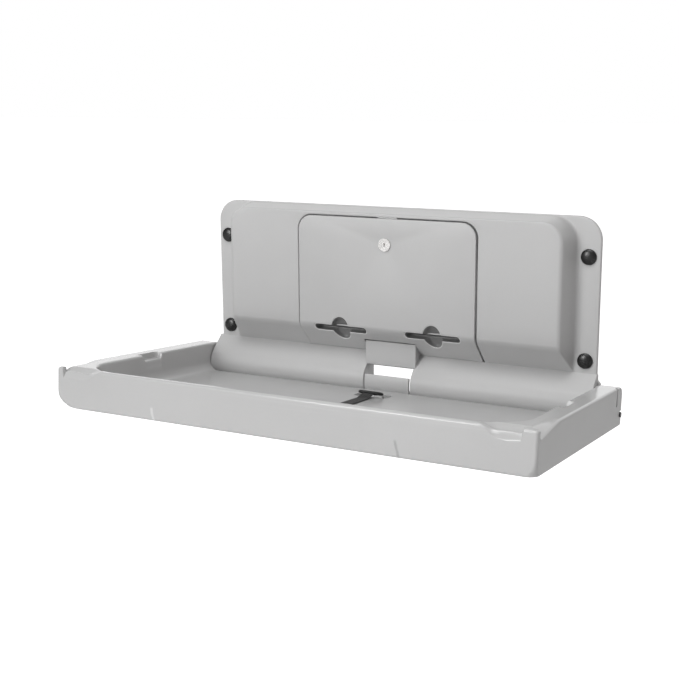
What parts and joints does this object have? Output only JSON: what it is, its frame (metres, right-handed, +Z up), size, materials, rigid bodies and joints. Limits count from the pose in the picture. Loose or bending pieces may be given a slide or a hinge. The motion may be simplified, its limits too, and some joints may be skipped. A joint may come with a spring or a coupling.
{
  "type": "baby changing station",
  "caption": "Wall-mounted baby changing station with a fold-down bed, a safety strap, and a moulded back panel with a lockable paper-liner door.",
  "frame": {"origin": "centre of the four wall bolts, on the wall plane", "axes": "+X to the right, -Y towards the user, +Y into the wall, +Z up"},
  "size_m": [0.89, 0.4754, 0.374],
  "materials": {
    "shell_plastic": "finely textured moulded polyethylene, light grey",
    "black_plastic": "satin black",
    "cap_plastic": "soft gloss black",
    "plate_steel": "powder coated light grey",
    "zinc_steel": "zinc plated",
    "lock_metal": "satin nickel",
    "bush_plastic": "natural acetal",
    "tray_plastic": "plain white",
    "webbing": "woven black"
  },
  "bodies": {
    "wall_unit": {"wall_plate": "plate_steel", "hinge_gussets": "plate_steel", "back_panel": "shell_plastic", "bolt_caps": "cap_plastic", "hinge_rod": "zinc_steel", "rod_clips": "zinc_steel", "stop_rods": "zinc_steel", "stop_rod_bolts": "zinc_steel", "hinge_cover": "shell_plastic", "cover_screws": "zinc_steel", "liner_tray": "tray_plastic", "tray_screws": "zinc_steel", "door_pins": "zinc_steel", "lock_keeper": "zinc_steel"},
    "door": {"liner_door": "shell_plastic", "lock_barrel": "lock_metal", "lock_nut": "zinc_steel"},
    "lock": {"lock_plug": "lock_metal", "lock_cam": "zinc_steel"},
    "bed": {"bed_shell": "shell_plastic", "hinge_bushes": "bush_plastic", "centre_knuckle": "shell_plastic", "knuckle_screws": "zinc_steel", "rear_strap_guide": "black_plastic", "front_strap_guide": "black_plastic", "guide_screws": "zinc_steel", "rear_strap": "webbing", "front_strap": "webbing", "strap_adjuster": "black_plastic", "buckle_body": "black_plastic", "buckle_tongue": "zinc_steel"},
    "lever": {"adjuster_lever": "black_plastic"},
    "button": {"buckle_button": "black_plastic"}
  },
  "joints": [
    {"name": "bed_fold", "type": "hinge", "parent": "wall_unit", "child": "bed", "pos_m": [0, -0.016, -0.1395], "axis": [-1, 0, 0], "range_deg": [0, 84.9]},
    {"name": "liner_door_turn", "type": "hinge", "parent": "wall_unit", "child": "door", "pos_m": [0, -0.008, -0.1095], "axis": [-1, 0, 0], "range_deg": [-64, 0]},
    {"name": "lock_turn", "type": "hinge", "parent": "door", "child": "lock", "pos_m": [0, -0.058, 0.1], "axis": [0, -1, 0], "range_deg": [0, 90]},
    {"name": "adjuster_lever_lift", "type": "hinge", "parent": "bed", "child": "lever", "pos_m": [0, -0.34629, -0.15058], "axis": [1, 0, 0], "range_deg": [0, 60]},
    {"name": "buckle_button_press", "type": "slide", "parent": "bed", "child": "button", "axis": [0, -0.0889, -0.996], "range_m": [0, 0.0028], "stiffness_N_per_m": 500}
  ]
}
